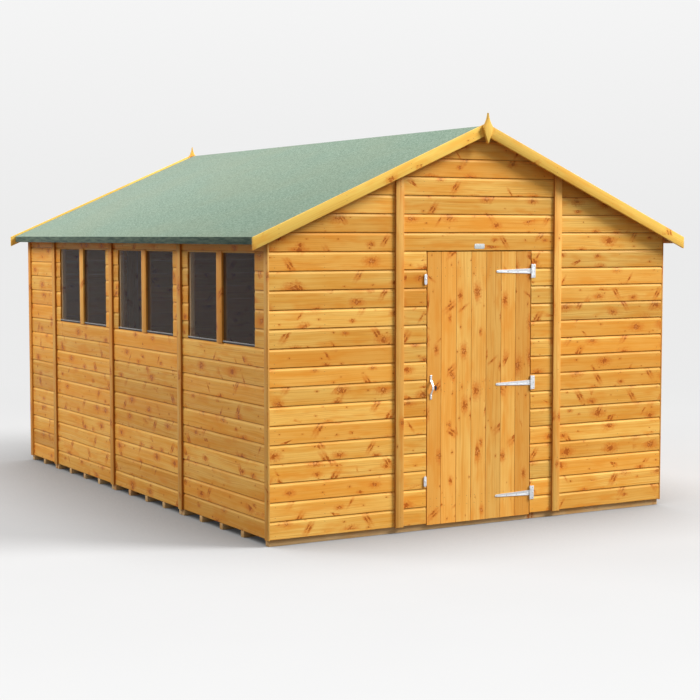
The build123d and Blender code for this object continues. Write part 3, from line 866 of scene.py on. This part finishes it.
# Studs behind a cover strip: how near counts, and how far beside the strip their nails go
NEAR_STRIP, PAST_GABLE_STRIP, PAST_SIDE_STRIP = 0.004, 0.006, 0.008
# Battens halfway along the wide gable panels, and about where those panels meet the middle one
BATTEN_X, GABLE_JOINT = 1.115, 0.6
# Nails down a strip: height of the first, clear above the last, the step, and how far off its middle
STRIP_FIRST, STRIP_LAST, STRIP_STEP, OFF_GABLE, OFF_SIDE = 0.06, 0.05, 0.29, 0.009, 0.008


def nail_rows(z0, z1, top):
    """Heights of the nails between z0 and z1, two in every board."""
    lines = board_lines(top)
    for low, high in zip(lines, lines[1:]):
        for z in (low + height for height in NAIL_HEIGHTS):
            if z0 < z < min(z1, high - UPPER_EDGE):
                yield jog(z)


def gable_rows(x):
    return nail_rows(BASE_Z + NAIL_CLEAR, under(x) - 0.03, RIDGE_Z)


gable_strips, side_strips = sticks("gable_cover_strips"), sticks("side_cover_strips")
spots = []
opening = [(box[0].y, box[1].y) for box in sticks("window_glass")]
for low, high in sticks("gable_studs"):
    side = math.copysign(1, low.y)
    x = (low.x + high.x) / 2
    if any(a.x - NEAR_STRIP < x < b.x + NEAR_STRIP for a, b in gable_strips):
        inner, outer = (corner.x for corner in gable_strips[3])
        beside = outer + PAST_GABLE_STRIP if abs(x) > GABLE_JOINT else inner - PAST_GABLE_STRIP
        x = math.copysign(beside, x)
    if side < 0 and abs(x) < DOOR[1].x + 0.01:
        continue
    for z in gable_rows(x):
        spots.append(((jog(x), FRONT_Y if side < 0 else REAR_Y, z), (0, side, 0)))
for x in (-BATTEN_X, BATTEN_X):
    for y, side in ((FRONT_Y, -1), (REAR_Y, 1)):
        for z in gable_rows(x):
            spots.append(((jog(x, 0.004), y, z), (0, side, 0)))
for low, high in sticks("side_wall_studs"):
    side = math.copysign(1, low.x)
    y = (low.y + high.y) / 2
    for a, b in side_strips:
        if a.y - NEAR_STRIP < y < b.y + NEAR_STRIP:
            y = b.y + PAST_SIDE_STRIP if y > (a.y + b.y) / 2 else a.y - PAST_SIDE_STRIP
    if abs(y) > REAR_Y - 0.05:
        continue
    in_window = side < 0 and any(a - 0.002 < y < b + 0.002 for a, b in opening)
    for z in nail_rows(BASE_Z + NAIL_CLEAR, WALL_TOP - 0.02, WALL_TOP):
        if in_window and SILL_Z - NAIL_CLEAR < z < HEAD_Z + NAIL_CLEAR:
            continue
        spots.append(((side * OUT_X, jog(y), z), (side, 0, 0)))
for k, (low, high) in enumerate(gable_strips + side_strips + sticks("corner_strips")):
    z = low.z + STRIP_FIRST
    while z < high.z - STRIP_LAST:
        if k < len(gable_strips):
            side = math.copysign(1, low.y)
            at = (jog((low.x + high.x) / 2 + OFF_GABLE), high.y if side > 0 else low.y, jog(z, 0.01))
            spots.append((at, (0, side, 0)))
        else:
            side = math.copysign(1, low.x)
            at = (high.x if side > 0 else low.x, jog((low.y + high.y) / 2 - OFF_SIDE), jog(z, 0.01))
            spots.append((at, (side, 0, 0)))
        z += STRIP_STEP
for low, high in sticks("window_mullions"):
    for z in (SILL_Z + 0.03, (SILL_Z + HEAD_Z) / 2, HEAD_Z - 0.03):
        spots.append(((low.x, jog((low.y + high.y) / 2), jog(z)), (-1, 0, 0)))
scatter("cladding_nails", nail, spots, "nail", slot="trim")

# Door: nails through the boards into its ledges, one row in a narrow board and two in a full one
FULL_BOARD, FROM_SEAM, FROM_LEDGE_EDGE = 0.09, 0.028, 0.022
spots = []
for low, high in sticks("door_ledges"):
    for a, b in zip(seams, seams[1:]):
        for x in (a + FROM_SEAM, b - FROM_SEAM) if b - a > FULL_BOARD else ((a + b) / 2,):
            for z in (low.z + FROM_LEDGE_EDGE, high.z - FROM_LEDGE_EDGE):
                spots.append(((jog(x), DOOR[0].y, jog(z)), (0, -1, 0)))
scatter("door_nails", nail, spots, "nail", body="door", slot="door")

# Barge boards and finials are nailed through their faces, the finials just inside their box
BARGE_NAILS, FINIAL_NAILS, FINIAL_EASE = (0.10, 0.55, 1.0, 1.45), (0.02, 0.055), 0.0007
spots = []
verge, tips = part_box("barge_boards_left"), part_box("finials")
slope = math.tan(PITCH)
drop = verge[1].z - slope * -verge[0].x - verge[0].z
for k, side in ((0, -1), (1, 1)):
    for sign in (-1, 1):
        for x in BARGE_NAILS:
            for share in (0.3, 0.7):
                z = verge[1].z - slope * x - share * drop
                spots.append(((sign * jog(x), verge[k].y, z), (0, side, 0)))
    for down in FINIAL_NAILS:
        spots.append(((jog(0, 0.004), tips[k].y - side * FINIAL_EASE, RIDGE_Z - down), (0, side, 0)))
scatter("barge_nails", nail, spots, "nail", slot="trim")

# Screws of the hinges, the handle, the lock and the turn buttons: thickness of the plates they are in,
# and their distances from the pin, a strap's tip, the middle of a hinge plate, and an edge
HINGE_T, HANDLE_T = 0.003, 0.004
FROM_PIN, FROM_TIP, PLATE_PITCH, SCREW_INSET, NEXT_INSET = 0.026, 0.012, 0.032, 0.009, 0.021
TO_FRONT = (0, -1, 0)
spots = []
pin_low, pin_high = sticks("hinge_pins")[0]
first = (pin_low.x + pin_high.x) / 2 - FROM_PIN
for low, high in sticks("hinge_straps"):
    z = (low.z + high.z) / 2
    last = low.x + FROM_TIP
    for i in range(4):
        spots.append(((first + (last - first) * i / 3, FRONT_Y - HINGE_T, z), TO_FRONT))
scatter("strap_screws", screw, spots, "screw", body="door")
spots = []
for low, high in sticks("hinge_plates"):
    z = (low.z + high.z) / 2
    for off in (-PLATE_PITCH, 0, PLATE_PITCH):
        spots.append(((high.x - SCREW_INSET, FRONT_Y - HINGE_T, z + off), TO_FRONT))
scatter("hinge_plate_screws", screw, spots, "screw")
low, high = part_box("door_handle")
spots = []
for z in (low.z + SCREW_INSET, low.z + NEXT_INSET, high.z - NEXT_INSET, high.z - SCREW_INSET):
    spots.append((((low.x + high.x) / 2, FRONT_Y - HANDLE_T, z), TO_FRONT))
scatter("handle_screws", screw, spots, "screw", body="door")
spots = []
for low, high in sticks("turn_buttons"):
    spots.append((((low.x + high.x) / 2, low.y, (low.z + high.z) / 2), TO_FRONT))
scatter("turn_button_screws", lambda: screw(0.0055, 0.0030), spots, "screw")
low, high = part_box("door_lock")
spots = []
for x in (low.x + SCREW_INSET, high.x - SCREW_INSET):
    for z in (low.z + SCREW_INSET, high.z - SCREW_INSET):
        spots.append(((x, high.y, z), (0, 1, 0)))
scatter("lock_screws", screw, spots, "screw", body="door", slot="lock")


def tablet(outer, hole, t):
    """Flat plate with an eased edge, and a shallow hole where one is given, its floor painted black as the
    shade of a deep hole.
    """
    bm = bmesh.new()
    edge = bm.verts.layers.float.new("edge")
    rings = []
    for shrink, up in ((0.0, 0.0), (0.0, t * 0.6), (0.0003, t * 0.9), (0.0008, t)):
        shares = [1 - shrink / math.hypot(x, y) for x, y in outer]
        rings.append(loop(bm, [(x * k, y * k) for (x, y), k in zip(outer, shares)], up))
    skin(bm, rings)
    bm.faces.new(rings[0][::-1])
    if hole:
        for v in recess(bm, rings[-1], hole, t, t * 0.1, 1.0):
            v[edge] = -1
    else:
        bm.faces.new(rings[-1])
    return bm


def arc(x, y, r, start, end, steps):
    """Points on an arc about x, y, from one angle to another in degrees."""
    turns = [math.radians(start + (end - start) * i / steps) for i in range(steps + 1)]
    return [(x + r * math.cos(t), y + r * math.sin(t)) for t in turns]


# Bare plate over the door, held by two small rivets
PLATE_HALF_X, PLATE_HALF_Z, PLATE_R, PLATE_T, RIVET_X = 0.038, 0.0155, 0.007, 0.0009, 0.031
plate = Piece("bare_plate")
outline = []
for x, z, start in ((1, 1, 0), (-1, 1, 90), (-1, -1, 180), (1, -1, 270)):
    middle = (x * (PLATE_HALF_X - PLATE_R), z * (PLATE_HALF_Z - PLATE_R))
    outline += arc(*middle, PLATE_R, start, start + 90, 6)
at = (-0.006, FRONT_Y, HEAD_Z + 0.028)
plate.take(tablet(outline, None, PLATE_T), place(X, Z, -Y, at), *luck())
plate.make("plate", slot="hardware", smooth=40)
rivet = [(0.0016, 0), (0.0015, 0.0005), (0.0009, 0.0009), (0, 0.001)]
spots = [((at[0] + side * RIVET_X, FRONT_Y - PLATE_T, at[2]), TO_FRONT) for side in (-1, 1)]
scatter("bare_plate_rivets", lambda: turned(rivet, 12), spots, "screw")

# Keyhole plate on the door, over the lock
KEYHOLE_X, KEYHOLE_Z, KEYHOLE_T = -0.3285, 0.882, 0.0018
shield = Piece("keyhole_plate")
outline = arc(0, 0.0065, 0.0085, -12, 192, 18) + arc(0, -0.0105, 0.0045, 192, 348, 10)
keyhole = arc(0, 0.0075, 0.0028, -60, 240, 12) + [(-0.0014, -0.0020), (0.0014, -0.0020)]
at = place(X, Z, -Y, (KEYHOLE_X, FRONT_Y, KEYHOLE_Z))
shield.take(tablet(outline, keyhole, KEYHOLE_T), at, *luck())
shield.make("black", body="door", slot="lock", smooth=40)

# Slim bead along the top of each pane
BEAD = 0.009
# Each point's third value is painted light: painted shade at the back of the bead's underside and a painted
# highlight along its front.
section = [(0, -BEAD, -0.3), (0, -0.0022, 0), (0.0012, -0.001, 0.3), (BEAD, -0.001, 0.2), (BEAD, -BEAD, 0)]
bead = Piece("window_head_beads")
for low, high in sticks("window_sill_beads"):
    bm = prism([(HEAD_Z - BEAD + p[0], *p[1:]) for p in section], low.y, high.y)
    bead.take(bm, LEFT, *luck(0.2, 0.6))
bead.make("trim", slot="trim")


# Camera solved from the photograph: its place, tilt down, turn, and focal length in pixels
EYE, TILT, TURN, FOCAL = (-5.6654, -10.2932, 1.8234), 4.132, -30.053, 1581.3
SENSOR, PIXELS = 36, 700
# Levels of the light, and what the camera sees of floor and backdrop
KEY, FILL, SKY_LOW, SKY_HIGH = 1.39, 0.40, 0.22, 0.8
FLOOR_SEEN, FLOOR_LIT, BACK_LOW, BACK_HIGH = 0.54, 0.20, 0.835, 0.92


def camera():
    cam = bpy.data.cameras.new("camera")
    cam.sensor_width = SENSOR
    cam.lens = SENSOR * FOCAL / PIXELS
    cam.clip_end = 300
    o = bpy.data.objects.new("camera", cam)
    o.location = EYE
    o.rotation_euler = (math.radians(90 - TILT), 0, math.radians(TURN))
    bpy.context.scene.collection.objects.link(o)
    bpy.context.scene.camera = o


def lamp(name, azimuth, elevation, distance, size, level):
    """Disk lamp whose light gives this level on a surface square to it."""
    turn, rise = math.radians(azimuth), math.radians(elevation)
    way = Vector((math.cos(turn) * math.cos(rise), math.sin(turn) * math.cos(rise), math.sin(rise)))
    light = bpy.data.lights.new(name, "AREA")
    light.shape = "DISK"
    light.size = size
    light.energy = level * math.pi * math.pi * distance**2
    o = bpy.data.objects.new(name, light)
    o.location = way * distance + Vector((0, 0, 1.0))
    o.rotation_euler = way.to_track_quat("Z", "Y").to_euler()
    bpy.context.scene.collection.objects.link(o)


def studio_floor():
    """Wide disc: dull near the shed, and farther off its own pale light, both painted darker where an
    occlusion node finds the shed close, as painted contact shadow.
    """
    bm = bmesh.new()
    bmesh.ops.create_circle(bm, cap_ends=True, radius=90, segments=96)
    me = bpy.data.meshes.new("floor")
    bm.to_mesh(me)
    bm.free()
    floor = bpy.data.objects.new("floor", me)
    bpy.context.scene.collection.objects.link(floor)
    g = Graph("floor")
    p = g.node("ShaderNodeTexCoord").outputs["Object"]
    away = g.vec("LENGTH", p)
    mottle = g.noise(p, 1.5, 2.0)
    seen_by = g.seen()
    grey = g.mix(g.span(mottle, 0.3, 0.7), (FLOOR_SEEN,) * 3, (FLOOR_SEEN * 1.015,) * 3)
    # Painted contact shadow: an occlusion node darkens the floor's colour, and fades its own light, where the
    # shed is close.
    contact = g.node("ShaderNodeAmbientOcclusion", samples=8)
    contact.inputs["Distance"].default_value = 1.1
    painted_shadow_factor = g.span(contact.outputs["AO"], 0.12, 1.0, 0.1, 1.0, smooth=False)
    grey = g.vec("SCALE", grey, scale=painted_shadow_factor)
    near = g.node("ShaderNodeBsdfDiffuse")
    g.put(near.inputs[0], g.mix(seen_by, (FLOOR_LIT,) * 3, grey))
    forward = g.vec("DOT_PRODUCT", p, (-0.48, -0.88, 0.0))
    sweep = g.span(forward, -1.0, 7.0, BACK_LOW, 1.0, smooth=False)
    far = g.node("ShaderNodeEmission")
    g.put(far.inputs[0], g.mix(seen_by, (FLOOR_LIT * 0.6,) * 3, g.join(sweep, sweep, sweep)))
    both = g.node("ShaderNodeMixShader")
    g.put(both.inputs[0], g.mul(g.span(away, 2.0, 8.5, 0.3, 1.0, smooth=False), painted_shadow_factor))
    g.tree.links.new(near.outputs[0], both.inputs[1])
    g.tree.links.new(far.outputs[0], both.inputs[2])
    g.feed(both)
    me.materials.append(g.mat)


def sky():
    """Pale backdrop for the camera, and a dimmer dome, lightest overhead, that lights the shed."""
    world = bpy.data.worlds.new("studio")
    bpy.context.scene.world = world
    g = Graph("studio", world)
    height = g.split(g.node("ShaderNodeTexCoord").outputs["Generated"])[2]
    back = g.span(height, 0.0, 0.16, BACK_LOW, BACK_HIGH, smooth=False)
    dome = g.span(height, 0.0, 1.0, SKY_LOW, SKY_HIGH, smooth=False)
    light = g.node("ShaderNodeBackground")
    g.put(light.inputs[0], g.mix(g.seen(), g.join(dome, dome, dome), g.join(back, back, back)))
    g.feed(light)


camera()
studio_floor()
sky()
lamp("key", azimuth=-34, elevation=40, distance=60.0, size=24.0, level=KEY)
lamp("fill", azimuth=152, elevation=33, distance=8.0, size=3.0, level=FILL)
bpy.context.scene.view_settings.view_transform = "Standard"
